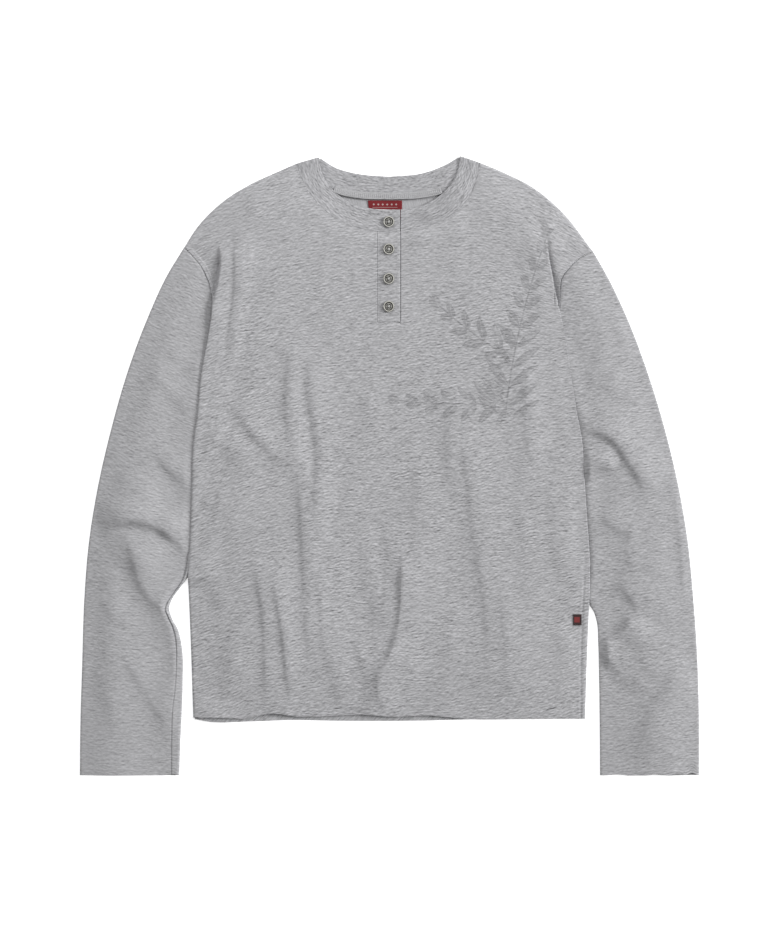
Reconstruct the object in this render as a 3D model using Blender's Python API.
"""Henley shirt in jersey, laid flat on its back with the sleeves down.

Sizes are in millimetres and become metres when a mesh is made. X runs across the shirt from
its centre line, Y runs from mid-height towards the neck, and Z is up from the surface.
The back panel and the lower half of each sleeve lie on the surface. The front panel, the upper
half of each sleeve and the front of the neckband lie on them, a seam's gap above. The sides of
the front panel fold over the inner edges of the sleeves as far down as the underarm.
"""
import math

import bmesh
import bpy
import numpy as np

MM = 0.001

# Cloth
WALL = 1.3               # jersey and its nap
GAP = 0.3                # clearance at every seam and between layers
LAYER = WALL + GAP       # rise from one layer of cloth to the next
BAND_WALL = 1.6          # the neckband is double cloth
BAND_LAYER = BAND_WALL + GAP
LABEL_WALL = 1.0         # woven labels
FOLD = 1.5               # width that a fold or a turned edge takes up

# How far the upper layer stands off the lower one
BODY_LOFT = 4.2
BODY_LOFT_WIDTH = 75.0   # it rises over this distance in from the body's edge
HEM_LOFT_SHARE = 0.35    # share of it at the hem
HEM_LOFT_DEPTH = 60.0    # the rest comes over this height above the hem
SLEEVE_LOFT = 3.4
SLEEVE_OUTER_RISE = 40.0   # it rises over this distance in from the outer edge
SLEEVE_INNER_RISE = 36.0   # and this one from the body's edge
SLEEVE_CLEARANCE = 2.0     # from the hidden part to where that rise starts
FOLD_MARGIN = 20.0       # the body's folds fade out over this distance from its edge
FOLD_FADE = 0.2          # share of a fold's length over which each end fades

# Where the front panel's sides fold over the sleeves
OVER_SLEEVE = 3.5        # underside of the front panel where it lies on a sleeve
OVER_TOP = 14.0          # width of the raised side
OVER_SLOPE = 32.0        # width over which it comes down towards the middle
OVER_STEP = 5.0          # width of the fold's step above the armhole seam's end
OVER_STEP_START = 6.0    # the step starts this far above the armhole seam's end
OVER_FADE_BELOW = 12.0   # height over which it fades out at the underarm
OVER_FADE_ABOVE = 30.0   # and at the fold's top
TUCK = 9.0               # width of sleeve hidden beneath the body's edge
TUCK_START = 4.0         # it starts this far below the armhole seam's end
TUCK_GROWTH = 30.0       # height over which it grows to its whole width
TUCK_FADE = 38.0         # height above the underarm over which it fades out
BACK_TUCK_SHARE = 1.5    # the back panel keeps this many tucks clear of the sleeve
EDGE_INSET = 3.4         # the back panel stops short of the front's turned edge

# Heights of the main levels on the body, up from mid-height
UNDERARM = {"left": -129.0, "right": -161.0}     # the body's edge leaves the sleeve here
ARM_SEAM_END = {"left": 196.0, "right": 182.0}   # the armhole seam goes under the fold here
CUFF = -359.0

# Outer edge from the neck point over the shoulder to the armhole: (x, y)
SHOULDER = {
    "left": ((-108.0, 350.2), (-127.0, 341.8), (-159.5, 327.0), (-192.0, 306.8), (-223.5, 275.5),
             (-238.0, 253.0)),
    "right": ((104.4, 351.5), (132.0, 340.0), (165.5, 323.0), (198.0, 296.5), (236.0, 248.4)),
}
# Armhole seam from the shoulder down to where it goes under the fold: (x, y)
ARMHOLE = {
    "left": ((-238.0, 253.0), (-215.2, 225.0), (-209.4, 211.7), (-205.0, 196.0)),
    "right": ((236.0, 248.4), (221.0, 240.0), (208.2, 228.5), (199.5, 217.0), (197.4, 203.0),
              (197.0, 182.0)),
}
# Side of the body from the armhole seam's end down to the hem: (x, y)
SIDE = {
    "left": ((-205.0, 196.0), (-206.5, 173.0), (-211.0, 145.0), (-218.5, 104.0), (-222.5, 61.0),
             (-226.8, 30.0), (-229.3, -34.0), (-231.6, -98.0), (-233.6, -129.0), (-232.4, -160.0),
             (-230.6, -205.0), (-227.8, -292.3)),
    "right": ((197.0, 182.0), (202.5, 156.0), (207.3, 127.0), (212.2, 94.0), (217.4, 61.0),
              (223.4, 28.0), (226.2, -17.0), (229.2, -63.0), (232.2, -110.0), (231.6, -161.0),
              (229.2, -222.0), (227.0, -293.6)),
}
# The fold's crease above the armhole seam's end, where the body's edge fades out: (x, y)
FOLD_TOP = {
    "left": ((-198.0, 262.0), (-197.2, 224.0), (-199.5, 212.0), (-205.0, 192.0)),
    "right": ((177.5, 284.0), (184.7, 243.0), (189.9, 216.0), (197.0, 178.0)),
}
# Outer edge of the sleeve from the armhole down to the cuff: (x, y)
SLEEVE_OUTER = {
    "left": ((-238.0, 253.0), (-258.3, 219.5), (-280.5, 171.0), (-304.5, 106.0), (-323.0, 41.0),
             (-338.0, -24.0), (-348.5, -89.0), (-353.8, -154.0), (-356.3, -230.0), (-358.4, -300.0),
             (-359.0, CUFF)),
    "right": ((236.0, 248.4), (252.5, 219.5), (275.5, 171.0), (300.0, 106.0), (319.6, 41.0),
              (335.0, -24.0), (346.0, -89.0), (352.3, -154.0), (357.3, -230.0), (359.0, -300.0),
              (359.0, CUFF)),
}
# Inner edge of the sleeve where it shows, from the underarm down to the cuff: (x, y)
SLEEVE_INNER = {
    "left": ((-234.6, -131.0), (-243.0, -142.0), (-253.0, -157.0), (-255.2, -164.0), (-252.6, -176.0),
             (-245.3, -190.0), (-240.2, -214.0), (-239.6, -250.0), (-242.2, -318.0), (-243.6, CUFF)),
    "right": ((232.6, -163.0), (236.4, -169.0), (240.2, -181.0), (241.9, -206.0), (243.0, -250.0),
              (243.7, -305.0), (244.0, CUFF)),
}
# Neck, half by half from the shoulder to the centre: (x, y)
FRONT_NECK_EDGE = {
    "left": ((-81.8, 357.6), (-79.8, 345.0), (-74.0, 330.0), (-62.0, 316.0), (-39.0, 301.8), (0.0, 296.6)),
    "right": ((81.8, 359.0), (79.8, 345.0), (74.0, 330.0), (62.0, 316.0), (39.0, 301.8), (0.0, 296.6)),
}
FRONT_NECK_SEAM = {
    "left": ((-108.0, 350.2), (-100.3, 329.0), (-82.0, 302.5), (-62.6, 286.0), (-40.0, 276.2), (0.0, 269.7)),
    "right": ((104.4, 351.5), (102.0, 335.0), (95.2, 315.0), (79.5, 296.4), (58.6, 282.6), (0.0, 269.7)),
}
BACK_NECK_EDGE = {
    "left": ((-81.8, 357.6), (-62.1, 345.2), (-41.2, 339.0), (0.0, 335.0)),
    "right": ((81.8, 359.0), (69.0, 350.8), (53.9, 343.9), (40.0, 339.4), (0.0, 335.0)),
}
BACK_NECK_SEAM = {
    "left": ((-108.0, 350.2), (-83.0, 326.5), (-59.7, 314.4), (-34.2, 309.2), (0.0, 308.0)),
    "right": ((104.4, 351.5), (83.0, 327.5), (59.7, 314.6), (34.2, 309.4), (0.0, 308.0)),
}
# Hems: the front's wavers, and the back's shows a few millimetres below it: (x, y)
FRONT_HEM = ((-227.8, -292.3), (-190.0, -292.8), (-172.0, -293.8), (-137.0, -287.6), (-105.0, -291.2),
             (-60.0, -290.0), (-33.0, -288.8), (12.0, -291.6), (37.0, -290.0), (95.0, -294.0),
             (160.0, -293.7), (227.0, -293.6))
BACK_HEM = ((-224.4, -294.4), (-212.0, -296.8), (-160.0, -296.8), (-118.0, -295.2), (-60.0, -296.0),
            (38.0, -295.8), (95.0, -294.4), (160.0, -294.0), (223.6, -293.4))

# Front opening
PLACKET_LEFT = -13.9
PLACKET_RIGHT = 12.2
PLACKET_TOP = 269.2
PLACKET_BOTTOM = 166.0
LAP_RAMP = 8.0           # the neckband's lapped end climbs over this length

# Buttons, 20 line: centre heights, the first on the neckband and the rest on the placket
BUTTON_X = -0.8
BUTTON_Y = (282.2, 250.4, 216.2, 184.0)
BUTTON_RADIUS = 6.5
BUTTON_HEIGHT = 2.6
BUTTON_HOLE_RADIUS = 0.8
BUTTON_HOLE_OFFSET = 1.5
BUTTON_SIDES = 20
BUTTON_LIFT = 0.3        # shank of thread beneath a button
# Half section of a button: shares of its radius and its height
BUTTON_SECTION = ((0.0, 0.0), (0.8, 0.0), (1.0, 0.3), (1.0, 0.75), (0.9, 1.0), (0.74, 0.9), (0.66, 0.6),
                  (0.0, 0.6))
PEG_SIDES = 8
PEG_LENGTH = 6.0
PEG_MIDDLE = 1.0

# Labels: (left, right, top, bottom)
NECK_LABEL = (-25.0, 14.6, 307.2, 285.0)
SIDE_LABEL = (212.8, 222.6, -172.3, -184.8)

# Largest folds: from (x, y) to (x, y), sideways bow of the middle, half width, rise
BODY_FOLDS = (
    (-177.0, 280.0, -191.0, 110.0, 3.0, 8.0, -1.3),
    (-104.0, 140.0, -86.0, -30.0, 2.0, 8.0, -1.3),
    (-102.0, 40.0, -101.0, -190.0, 0.0, 8.0, -1.6),
    (-144.0, 30.0, -100.0, 8.0, -3.0, 7.0, -1.5),
    (-160.0, -95.0, -146.0, -290.0, 4.0, 8.0, -1.7),
    (-139.0, -100.0, -115.0, -290.0, -3.0, 8.0, -1.9),
    (16.0, -95.0, -2.0, -232.0, 6.0, 8.0, -2.2),
    (2.0, -215.0, -12.0, -300.0, -7.0, 8.0, -2.0),
    (104.0, -50.0, 112.0, -290.0, -4.0, 9.0, -1.2),
    (-30.0, -60.0, -8.0, -250.0, 4.0, 12.0, 1.2),
    (-60.0, -80.0, -58.0, -280.0, 3.0, 12.0, 1.0),
)
SLEEVE_FOLDS = {
    "left": (
        (-336.0, -100.0, -238.0, -104.0, -26.0, 8.0, -2.0),
        (-308.0, -84.0, -256.0, -168.0, 6.0, 9.0, -2.2),
        (-275.0, 14.0, -222.0, -42.0, -3.0, 7.0, -1.4),
        (-296.0, -250.0, -252.0, -320.0, 2.0, 8.0, -1.2),
        (-318.0, -70.0, -262.0, -150.0, 5.0, 12.0, 1.2),
    ),
    "right": (
        (218.0, 48.0, 300.0, -34.0, 8.0, 8.0, -1.4),
        (238.0, -70.0, 286.0, -96.0, 2.0, 8.0, -1.2),
        (236.0, -206.0, 288.0, -168.0, -4.0, 8.0, -1.9),
        (322.0, -240.0, 292.0, -322.0, -3.0, 8.0, -1.6),
        (330.0, -40.0, 345.0, -190.0, 2.0, 8.0, -1.1),
    ),
}

# Plain colours: name, colour, roughness
JERSEY = ("grey_marl_jersey", (0.395, 0.395, 0.405), 0.95)
BUTTON_RESIN = ("grey_button", (0.27, 0.265, 0.24), 0.4)
RED_LABEL = ("dark_red_label", (0.2, 0.012, 0.02), 0.8)
MAROON_LABEL = ("maroon_label", (0.1, 0.02, 0.02), 0.8)


# Curves and heights

def smooth(value):
    """Ease from 0 to 1 as the value goes from 0 to 1."""
    value = np.clip(value, 0.0, 1.0)
    return value * value * (3.0 - 2.0 * value)


def curve(points, stations):
    """Places on the smooth curve through the points; stations run from 0 to 1 by length."""
    points = np.array(points, float)
    steps = np.linalg.norm(np.diff(points, axis=0), axis=1)
    knots = np.concatenate(([0.0], np.cumsum(steps)))
    slopes = np.gradient(points, knots, axis=0)
    at = np.clip(np.asarray(stations, float), 0.0, 1.0) * knots[-1]
    k = np.clip(np.searchsorted(knots, at, side="right") - 1, 0, len(steps) - 1)
    t = ((at - knots[k]) / steps[k])[:, None]
    h = steps[k][:, None]
    return ((2 * t**3 - 3 * t**2 + 1) * points[k] + (t**3 - 2 * t**2 + t) * h * slopes[k]
            + (3 * t**2 - 2 * t**3) * points[k + 1] + (t**3 - t**2) * h * slopes[k + 1])


def joined(*curves):
    """Curves end to end, each shared end kept once."""
    return np.vstack([curves[0]] + [c[1:] for c in curves[1:]])


def moved_aside(points, distance):
    """Points of an open line moved to its left by a distance."""
    along = np.gradient(points, axis=0)
    along /= np.linalg.norm(along, axis=1)[:, None]
    return points + distance * np.column_stack((-along[:, 1], along[:, 0]))


FINE = np.linspace(0.0, 1.0, 200)


def x_on(points, y):
    """x of a line at height y, where the line runs steadily up or down."""
    line = curve(points, FINE)
    order = np.argsort(line[:, 1])
    return np.interp(y, line[order, 1], line[order, 0])


def body_edge(side, y):
    """x of the body's outline on one side at height y, hem to neck."""
    y = np.asarray(y, float)
    low = x_on(SIDE[side], y)
    middle = x_on(ARMHOLE[side], y)
    high = x_on(SHOULDER[side], y)
    return np.where(y < ARM_SEAM_END[side], low, np.where(y < ARMHOLE[side][0][1], middle, high))


def folds(x, y, table):
    """Height that the folds of a table add at (x, y)."""
    total = np.zeros(np.broadcast(x, y).shape)
    for x0, y0, x1, y1, bow, half_width, rise in table:
        length = math.hypot(x1 - x0, y1 - y0)
        ux, uy = (x1 - x0) / length, (y1 - y0) / length
        s = ((x - x0) * ux + (y - y0) * uy) / length
        across = (y - y0) * ux - (x - x0) * uy - 4.0 * bow * s * (1.0 - s)
        ends = smooth(s / FOLD_FADE) * smooth((1.0 - s) / FOLD_FADE)
        total += rise * np.exp(-(across / half_width) ** 2) * ends
    return total


def body_over_sleeve(x, y):
    """Rise of the front panel where its sides fold over the sleeves."""
    total = np.zeros(np.broadcast(x, y).shape)
    for side, inward in (("left", 1.0), ("right", -1.0)):
        seam_end = FOLD_TOP[side][-1][1]
        crease = np.where(y < seam_end, body_edge(side, y), x_on(FOLD_TOP[side], y))
        inside = (x - crease) * inward
        on_top = np.where(y < seam_end + OVER_STEP_START, 1.0, smooth(inside / OVER_STEP + 0.5))
        fade_out = 1.0 - smooth((inside - OVER_TOP) / OVER_SLOPE)
        below = smooth((y - UNDERARM[side]) / OVER_FADE_BELOW + 1.0)
        above = smooth((FOLD_TOP[side][0][1] - y) / OVER_FADE_ABOVE)
        total += (OVER_SLEEVE - LAYER) * on_top * fade_out * below * above
    return total


def front_underside(x, y):
    """Height of the front panel's underside at (x, y)."""
    inside = np.minimum(x - body_edge("left", y), body_edge("right", y) - x)
    above_hem = smooth((y - FRONT_HEM[0][1]) / HEM_LOFT_DEPTH)
    share = HEM_LOFT_SHARE + (1.0 - HEM_LOFT_SHARE) * above_hem
    loft = BODY_LOFT * smooth(inside / BODY_LOFT_WIDTH) * share
    large_folds = folds(x, y, BODY_FOLDS) * smooth(inside / FOLD_MARGIN)
    return np.maximum(LAYER + loft + body_over_sleeve(x, y) + large_folds, LAYER)


# Meshes

def new_object(name, mesh, finish, smooth_angle=35.0):
    """Link a mesh as a named object with its own plain material."""
    label, colour, roughness = finish
    material = bpy.data.materials.new(name + "_" + label)
    material.use_nodes = True
    shader = material.node_tree.nodes["Principled BSDF"]
    shader.inputs["Base Color"].default_value = (*colour, 1.0)
    shader.inputs["Roughness"].default_value = roughness
    shader.inputs["Metallic"].default_value = 0.0
    mesh.materials.append(material)
    mesh.shade_smooth()
    mesh.set_sharp_from_angle(angle=math.radians(smooth_angle))
    piece = bpy.data.objects.new(name, mesh)
    bpy.context.scene.collection.objects.link(piece)
    return piece


def mesh_from(name, points, faces):
    """A mesh in metres with its faces turned outwards, from points in millimetres."""
    mesh = bpy.data.meshes.new(name)
    mesh.from_pydata([tuple(p * MM for p in point) for point in points], [], faces)
    form = bmesh.new()
    form.from_mesh(mesh)
    bmesh.ops.recalc_face_normals(form, faces=form.faces)
    form.to_mesh(mesh)
    form.free()
    return mesh


def wall(low, high):
    """Points and faces of a closed wall between two grids of points, rows by columns."""
    rows, columns = low.shape[:2]
    points = np.vstack((low.reshape(-1, 3), high.reshape(-1, 3)))
    top = rows * columns
    faces = []
    for r in range(rows - 1):
        for c in range(columns - 1):
            a, b = r * columns + c, r * columns + c + 1
            d, e = a + columns, b + columns
            faces.append((a, d, e, b))
            faces.append((top + a, top + b, top + e, top + d))
    rim = [c for c in range(columns)]
    rim += [r * columns + columns - 1 for r in range(1, rows)]
    rim += [(rows - 1) * columns + c for c in range(columns - 2, -1, -1)]
    rim += [r * columns for r in range(rows - 2, 0, -1)]
    for a, b in zip(rim, rim[1:] + rim[:1]):
        faces.append((a, b, top + b, top + a))
    return points, faces


def patch(bottom, top, left, right, across, up, reach=1.0):
    """A grid of (x, y) between four edges; a high reach keeps the sides' shape to the sides."""
    u = np.asarray(across)[None, :, None]
    v = np.asarray(up)[:, None, None]
    grid = (1 - v) * bottom[None, :, :] + v * top[None, :, :]
    from_left = left[:, None, :] - grid[:, :1]
    from_right = right[:, None, :] - grid[:, -1:]
    return grid + (1 - u) ** reach * from_left + u ** reach * from_right


def with_height(flat, height):
    """A grid of (x, y) with a height added to each point."""
    return np.concatenate((flat, np.broadcast_to(height, flat.shape[:2])[..., None]), axis=-1)


def steps_between(anchors, counts):
    """Values through the anchors, each gap cut into its count of equal steps."""
    values = [anchors[0]]
    for start, end, count in zip(anchors, anchors[1:], counts):
        values += list(np.linspace(start, end, count + 1)[1:])
    return np.array(values)


# Body

SHOULDER_STATIONS = np.array([0.0, 0.2, 0.4, 0.6, 0.78, 0.9, 0.98, 1.0])
NECK_STATIONS = np.array([0.0, 0.1, 0.22, 0.35, 0.48, 0.61, 0.74, 0.87, 1.0])
ARM_SEAM_STATIONS = np.array([0.0, 0.12, 0.3, 0.5, 0.7, 0.88, 1.0])
TURNED_SEAM_STATIONS = np.insert(ARM_SEAM_STATIONS, 1, 0.03)
BODY_REACH = 8.0         # keeps the armholes' shape to the sides of the panel
NECK_LENGTH_SHARE = 0.35   # weight of the edge's length beside its x in the spacing of columns
# Rows up the front's side: the hem's fold, the side, the turn at the underarm, the sleeve's part
SIDE_ROWS = (1, 7, 1, 12)
UNDERARM_TURN = 12.0
SEAM_END_MARGIN = 3.0
TURNED_MARGIN = 6.0      # the side is turned down from this far below the underarm
ON_SEAM_MARGIN = 12.0    # and lies on the armhole seam from this far above the seam's end
BACK_SIDE_ROWS = (3, 1, 7)
BACK_UNDERARM_TURN = 40.0
BACK_SEAM_END_MARGIN = 10.0


def top_edge(neck_seam, gap):
    """Body's upper edge, left armhole to right armhole, a gap outside the neckband's seam."""
    half = {side: curve(neck_seam[side], NECK_STATIONS) for side in ("left", "right")}
    neck = moved_aside(joined(half["left"], half["right"][::-1]), -gap)
    left = curve(SHOULDER["left"], SHOULDER_STATIONS)[::-1]
    right = curve(SHOULDER["right"], SHOULDER_STATIONS)
    left[-1], right[0] = neck[0], neck[-1]
    return joined(left, neck, right)


def side_edge(side, heights, inset, stations, seam_inset, corner):
    """Body's side edge from hem to shoulder: the side at the given heights, then the armhole."""
    inward = 1.0 if side == "left" else -1.0
    low = np.column_stack((body_edge(side, heights) + inward * inset, heights))
    seam = moved_aside(curve(ARMHOLE[side], stations), inward * seam_inset)[::-1]
    seam[-1] = corner
    return np.vstack((low, seam))


def front_panel():
    """The front: one wall from hem to shoulders, with the neck cut out of its upper edge."""
    top = top_edge(FRONT_NECK_SEAM, GAP)
    edges = []
    for side, hem, corner in (("left", FRONT_HEM[0][1], top[0]), ("right", FRONT_HEM[-1][1], top[-1])):
        underarm, seam_end = UNDERARM[side], ARM_SEAM_END[side]
        at = (hem, hem + FOLD, underarm - UNDERARM_TURN, underarm, seam_end - SEAM_END_MARGIN)
        heights = steps_between(at, SIDE_ROWS)
        edges.append(side_edge(side, heights, 0.0, TURNED_SEAM_STATIONS, 0.0, corner))
    left, right = edges
    across = edge_fractions(top)
    bottom = hem_edge(FRONT_HEM, left[0], right[0], across)
    flat = patch(bottom, top, left, right, across, rise_of(left), BODY_REACH)
    under = front_underside(flat[..., 0], flat[..., 1])
    shoulder_columns = len(SHOULDER_STATIONS)
    under[-1, :shoulder_columns - 1] = 0.0
    under[-1, 1 - shoulder_columns:] = 0.0
    for column, side in ((0, "left"), (-1, "right")):
        height = flat[:, column, 1]
        turned_down = height < UNDERARM[side] - TURNED_MARGIN
        turned_down[0] = False
        under[turned_down, column] = 0.0
        on_seam = height > ARM_SEAM_END[side] + ON_SEAM_MARGIN
        on_seam[-1] = False
        under[on_seam, column] = LAYER
    points, faces = wall(with_height(flat, under), with_height(flat, under + WALL))
    return new_object("front_panel", mesh_from("front_panel", points, faces), JERSEY)


def edge_fractions(top):
    """Fractions across the body for the columns: mostly x, with some length where the neck is steep."""
    steps = np.diff(top, axis=0)
    shares = np.abs(steps[:, 0]) + NECK_LENGTH_SHARE * np.linalg.norm(steps, axis=1)
    return np.concatenate(([0.0], np.cumsum(shares))) / shares.sum()


def rise_of(edge):
    """Fractions up the body for the rows, from the heights of one of its side edges."""
    return (edge[:, 1] - edge[0, 1]) / (edge[-1, 1] - edge[0, 1])


def hem_edge(points, first, last, across):
    """Hem at the columns' fractions, from its first corner to its last."""
    line = curve(points, FINE)
    x = first[0] + across * (last[0] - first[0])
    hem = np.column_stack((x, np.interp(x, line[:, 0], line[:, 1])))
    hem[0], hem[-1] = first, last
    return hem


def hidden_tuck(side, y):
    """Width of sleeve beneath the body's edge at height y."""
    start = smooth((FOLD_TOP[side][-1][1] - TUCK_START - y) / TUCK_GROWTH)
    end = smooth((y - UNDERARM[side]) / TUCK_FADE)
    return TUCK * start * end


def back_panel():
    """The back: flat on the surface, inside the front's turned edges and the sleeves' tubes."""
    top = top_edge(BACK_NECK_SEAM, GAP)
    shoulder_columns = len(SHOULDER_STATIONS)
    inset_top = moved_aside(top, -EDGE_INSET)
    top[:shoulder_columns] = inset_top[:shoulder_columns]
    top[-shoulder_columns:] = inset_top[-shoulder_columns:]
    edges = []
    for side, corner in (("left", top[0]), ("right", top[-1])):
        at = (BACK_HEM[0][1], UNDERARM[side], UNDERARM[side] + BACK_UNDERARM_TURN,
              ARM_SEAM_END[side] - BACK_SEAM_END_MARGIN)
        heights = steps_between(at, BACK_SIDE_ROWS)
        inset = BACK_TUCK_SHARE * hidden_tuck(side, heights) + EDGE_INSET
        edges.append(side_edge(side, heights, inset, ARM_SEAM_STATIONS, GAP, corner))
    left, right = edges
    across = edge_fractions(top)
    bottom = hem_edge(BACK_HEM, left[0], right[0], across)
    flat = patch(bottom, top, left, right, across, rise_of(left), BODY_REACH)
    points, faces = wall(with_height(flat, 0.0), with_height(flat, WALL))
    return new_object("back_panel", mesh_from("back_panel", points, faces), JERSEY)


# Sleeves

SLEEVE_ACROSS = ARM_SEAM_STATIONS
SLEEVE_SECTIONS = 24
HIDDEN_SECTIONS = 12     # places down the part of the inner edge beneath the body
INNER_SKIN_SHARE = 0.8   # the inner skin turns this share of a fold further in


def sleeve_edges(side):
    """Outer and inner edges of a sleeve, armhole to cuff, with as many places on each."""
    stations = np.linspace(0.0, 1.0, SLEEVE_SECTIONS)
    outer = curve(SLEEVE_OUTER[side], stations)
    inward = 1.0 if side == "left" else -1.0
    heights = np.linspace(ARM_SEAM_END[side], SLEEVE_INNER[side][0][1], HIDDEN_SECTIONS)[:-1]
    hidden = np.column_stack((body_edge(side, heights) + inward * hidden_tuck(side, heights), heights))
    hidden[0] = ARMHOLE[side][-1]
    inner = curve(np.vstack((hidden, SLEEVE_INNER[side])), stations)
    return outer, inner


def sleeve(side):
    """A tube pressed flat: the upper and lower halves are joined round the folds at its edges."""
    outer, inner = sleeve_edges(side)
    down = np.linspace(0.0, 1.0, SLEEVE_SECTIONS)
    away = -1.0 if side == "left" else 1.0
    seam = curve(ARMHOLE[side], SLEEVE_ACROSS)
    seam[0], seam[-1] = outer[0], inner[0]
    cuff = outer[-1] + SLEEVE_ACROSS[:, None] * (inner[-1] - outer[-1])
    flat = patch(seam, cuff, outer, inner, SLEEVE_ACROSS, down)
    flat[0] = moved_aside(flat[0], away * 2.0 * GAP)
    loops = []
    for section in flat:
        width = np.linalg.norm(section[-1] - section[0])
        across = (section[-1] - section[0]) / width
        loops.append((section_loop(side, section, across, 0.0), section_loop(side, section, across, WALL)))
    points = np.array([point for loop_pair in loops for loop in loop_pair for point in loop])
    count = len(loops[0][0])
    faces = []
    for k in range(SLEEVE_SECTIONS - 1):
        for which in (0, 1):
            here, ahead = (2 * k + which) * count, (2 * k + 2 + which) * count
            for a in range(count):
                b = (a + 1) % count
                face = (here + a, here + b, ahead + b, ahead + a)
                faces.append(face if which == 0 else face[::-1])
    for ring in (0, SLEEVE_SECTIONS - 1):
        for a in range(count):
            b = (a + 1) % count
            base = 2 * ring * count
            face = (base + a, base + count + a, base + count + b, base + b)
            faces.append(face if ring == 0 else face[::-1])
    name = "sleeve_" + side
    return new_object(name, mesh_from(name, points, faces), JERSEY)


def section_loop(side, section, across, wall_inset):
    """One closed loop round a sleeve's section: its outer skin, or its inner skin a wall inside."""
    edge = FOLD * across
    row = section.copy()
    row[0] = section[0] + edge
    row[-1] = section[-1] - edge
    if wall_inset:
        row[0] = row[0] + INNER_SKIN_SHARE * edge
        row[-1] = row[-1] - INNER_SKIN_SHARE * edge
    top = sleeve_underside(side, section, row) + (WALL - wall_inset)
    bottom = np.full(len(row), wall_inset)
    middle = 0.5 * (LAYER + WALL)
    turn = wall_inset * across
    first = (*(section[0] + turn), middle)
    last = (*(section[-1] - turn), middle)
    upper = [(*p, z) for p, z in zip(row, top)]
    lower = [(*p, z) for p, z in zip(row, bottom)][::-1]
    return [first] + upper + [last] + lower


def sleeve_underside(side, section, row):
    """Height of the upper half's underside along a row of a sleeve's section."""
    from_outer = np.linalg.norm(row - section[0], axis=1)
    from_inner = np.linalg.norm(row - section[-1], axis=1)
    inner_rise = smooth((from_inner - TUCK - SLEEVE_CLEARANCE) / SLEEVE_INNER_RISE)
    share = smooth(from_outer / SLEEVE_OUTER_RISE) * inner_rise
    large_folds = folds(row[:, 0], row[:, 1], SLEEVE_FOLDS[side])
    return np.maximum(LAYER + share * (SLEEVE_LOFT + large_folds), LAYER)


# Neckband and placket

LAP_MARGIN = 3.0         # the left half's curved rows end this far before the lapped end
OPENING_MARGIN = 4.0     # the right half's curved rows start this far past the opening
BAND_TURNS = {"left": (-0.3, 0.95), "right": (0.3, 0.95)}   # way that each shoulder's fold faces
TURN_ANGLES = np.array([90.0, 45.0, 0.0, -45.0, -90.0])


def band_row_at(x):
    """Across the neckband's front at one x: its upper edge, middle and seam."""
    places = []
    for table in (FRONT_NECK_EDGE, FRONT_NECK_SEAM):
        line = joined(*(curve(table[side], NECK_STATIONS)[::order]
                        for side, order in (("left", 1), ("right", -1))))
        places.append((x, float(np.interp(x, line[:, 0], line[:, 1]))))
    return band_row(*np.array(places))


def band_row(edge, seam):
    """Three places across the neckband, upper edge to seam."""
    return edge + np.array([[0.0], [0.5], [1.0]]) * (seam - edge)


def band_half(side, edges, seams):
    """Rows across the neckband at each station, shoulder to centre."""
    return [band_row(e, s) for e, s in zip(curve(edges[side], NECK_STATIONS),
                                           curve(seams[side], NECK_STATIONS))]


def neckband():
    """One strip round the neck, folded at each shoulder, its left end lapped over its right."""
    lap_start = PLACKET_LEFT - LAP_RAMP
    left = [row for row in band_half("left", FRONT_NECK_EDGE, FRONT_NECK_SEAM)
            if row[:, 0].max() < lap_start - LAP_MARGIN]
    left += [band_row_at(x) for x in (lap_start, PLACKET_LEFT, 0.0, PLACKET_RIGHT)]
    right = [row for row in band_half("right", FRONT_NECK_EDGE, FRONT_NECK_SEAM)
             if row[:, 0].min() > PLACKET_RIGHT + OPENING_MARGIN]
    right += [band_row_at(PLACKET_RIGHT + 2.0 * GAP)]
    back = band_half("left", BACK_NECK_EDGE, BACK_NECK_SEAM)[1:]
    back += band_half("right", BACK_NECK_EDGE, BACK_NECK_SEAM)[1:-1][::-1]
    inner, outer = [], []
    for row in left[::-1][:-1]:
        lap = LAYER * smooth((row[:, 0].mean() - lap_start) / LAP_RAMP)
        lay_front(inner, outer, row, lap)
    turn_at_shoulder(inner, outer, left[0], BAND_TURNS["left"], TURN_ANGLES)
    for row in back:
        inner.append(with_height(row[None], BAND_WALL)[0])
        outer.append(with_height(row[None], 0.0)[0])
    turn_at_shoulder(inner, outer, right[0], BAND_TURNS["right"], TURN_ANGLES[::-1])
    for row in right[1:]:
        lay_front(inner, outer, row, 0.0)
    points, faces = wall(np.array(inner), np.array(outer))
    return new_object("neckband", mesh_from("neckband", points, faces), JERSEY)


def lay_front(inner, outer, row, lap):
    """Lay one row of the strip level with the front panel, or lifted where it laps."""
    under = np.maximum(front_underside(row[:, 0], row[:, 1]), BAND_LAYER) + lap
    inner.append(with_height(row[None], under)[0])
    outer.append(with_height(row[None], under + BAND_WALL)[0])


def turn_at_shoulder(inner, outer, row, outward, angles):
    """Carry the strip round its fold at the shoulder, between its front and back layers."""
    centre = 0.5 * (BAND_LAYER + BAND_WALL)
    outward = np.array(outward)
    axis = row - (0.5 * GAP + BAND_WALL) * outward
    for angle in np.radians(angles):
        for radius, layers in ((0.5 * GAP, inner), (0.5 * GAP + BAND_WALL, outer)):
            place = axis + radius * math.cos(angle) * outward
            layers.append(with_height(place[None], centre + radius * math.sin(angle))[0])


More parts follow.
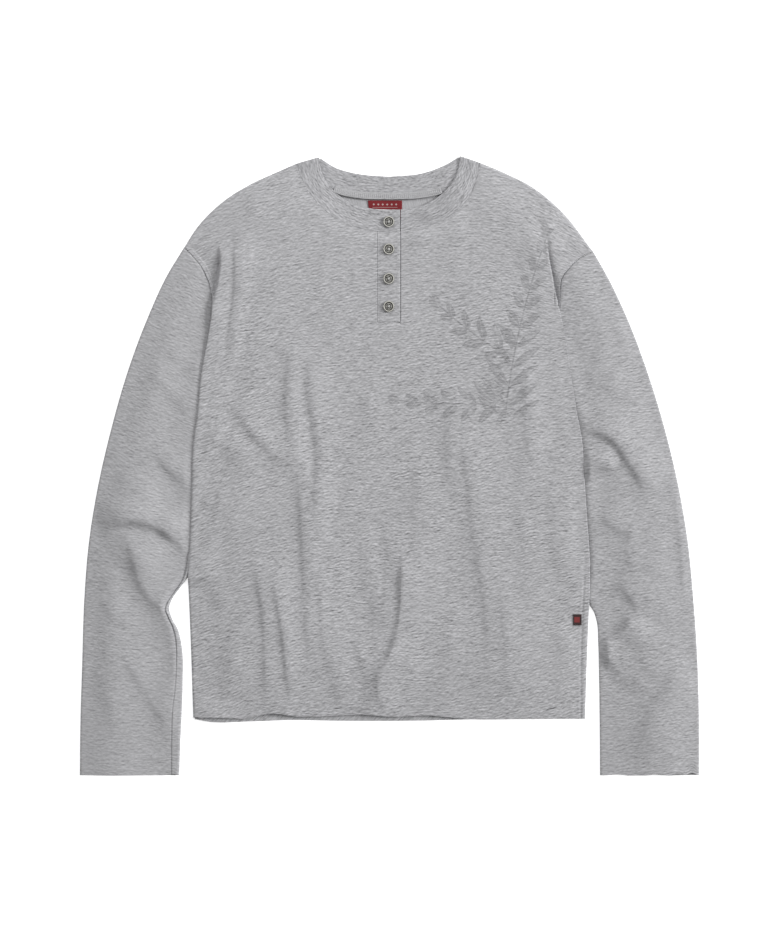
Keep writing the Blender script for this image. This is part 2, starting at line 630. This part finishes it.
def placket():
    """The buttonhole strip, on the front panel from the neckband's seam down."""
    x = np.linspace(PLACKET_LEFT, PLACKET_RIGHT, 4)
    y = np.linspace(PLACKET_BOTTOM, PLACKET_TOP, 9)
    flat = np.stack(np.meshgrid(x, y), axis=-1)
    under = front_underside(flat[..., 0], flat[..., 1]) + LAYER
    points, faces = wall(with_height(flat, under), with_height(flat, under + WALL))
    return new_object("placket", mesh_from("placket", points, faces), JERSEY)


# Buttons and labels

def button_mesh():
    """A turned button with a raised rim and four holes."""
    form = bmesh.new()
    verts = [form.verts.new((r * BUTTON_RADIUS * MM, 0.0, h * BUTTON_HEIGHT * MM))
             for r, h in BUTTON_SECTION]
    edges = [form.edges.new(pair) for pair in zip(verts, verts[1:])]
    bmesh.ops.spin(form, geom=verts + edges, cent=(0, 0, 0), axis=(0, 0, 1), dvec=(0, 0, 0),
                   angle=math.tau, steps=BUTTON_SIDES, use_merge=True)
    bmesh.ops.remove_doubles(form, verts=form.verts, dist=0.00001)
    bmesh.ops.recalc_face_normals(form, faces=form.faces)
    mesh = bpy.data.meshes.new("button_blank")
    form.to_mesh(mesh)
    form.free()
    return mesh


def button_hole_cutter():
    """Four pegs that cut the thread holes."""
    form = bmesh.new()
    for quarter in range(4):
        angle = math.radians(45.0 + 90.0 * quarter)
        centre = (BUTTON_HOLE_OFFSET * math.cos(angle), BUTTON_HOLE_OFFSET * math.sin(angle), PEG_MIDDLE)
        made = bmesh.ops.create_cone(form, cap_ends=True, segments=PEG_SIDES,
                                     radius1=BUTTON_HOLE_RADIUS * MM, radius2=BUTTON_HOLE_RADIUS * MM,
                                     depth=PEG_LENGTH * MM)
        bmesh.ops.translate(form, verts=made["verts"], vec=[c * MM for c in centre])
    mesh = bpy.data.meshes.new("button_hole_cutter")
    form.to_mesh(mesh)
    form.free()
    cutter = bpy.data.objects.new("button_hole_cutter", mesh)
    bpy.context.scene.collection.objects.link(cutter)
    cutter.hide_render = True
    cutter.display_type = "WIRE"
    return cutter


def buttons():
    """Four buttons, done up through the band's end and the placket."""
    for number, y in enumerate(BUTTON_Y, 1):
        blank = new_object("button_%d" % number, button_mesh(), BUTTON_RESIN, 50.0)
        cutter = button_hole_cutter()
        under = float(front_underside(np.array(BUTTON_X), np.array(y)))
        strip = BAND_WALL if number == 1 else WALL
        place = (BUTTON_X * MM, y * MM, (under + LAYER + strip + GAP + BUTTON_LIFT) * MM)
        blank.location = place
        cutter.location = place
        holes = blank.modifiers.new("thread holes", "BOOLEAN")
        holes.operation = "DIFFERENCE"
        holes.object = cutter


def neck_label():
    """Woven label that hangs from the back neck seam, on the inside of the back panel."""
    left, right, top, bottom = NECK_LABEL
    flat = np.stack(np.meshgrid(np.linspace(left, right, 4), np.linspace(bottom, top, 4)), axis=-1)
    points, faces = wall(with_height(flat, LAYER), with_height(flat, LAYER + LABEL_WALL))
    return new_object("neck_label", mesh_from("neck_label", points, faces), RED_LABEL)


def side_label():
    """Small folded label that lies on the front panel, with its ends in the side seam."""
    left, right, top, bottom = SIDE_LABEL
    flat = np.stack(np.meshgrid(np.linspace(left, right, 5), np.linspace(bottom, top, 4)), axis=-1)
    under = front_underside(flat[..., 0], flat[..., 1]) + LAYER + 2.0 * GAP
    points, faces = wall(with_height(flat, under), with_height(flat, under + LABEL_WALL))
    return new_object("side_label", mesh_from("side_label", points, faces), MAROON_LABEL)


for leftover in list(bpy.data.objects):
    bpy.data.objects.remove(leftover)

back_panel()
front_panel()
for arm in ("left", "right"):
    sleeve(arm)
neckband()
placket()
buttons()
neck_label()
side_label()
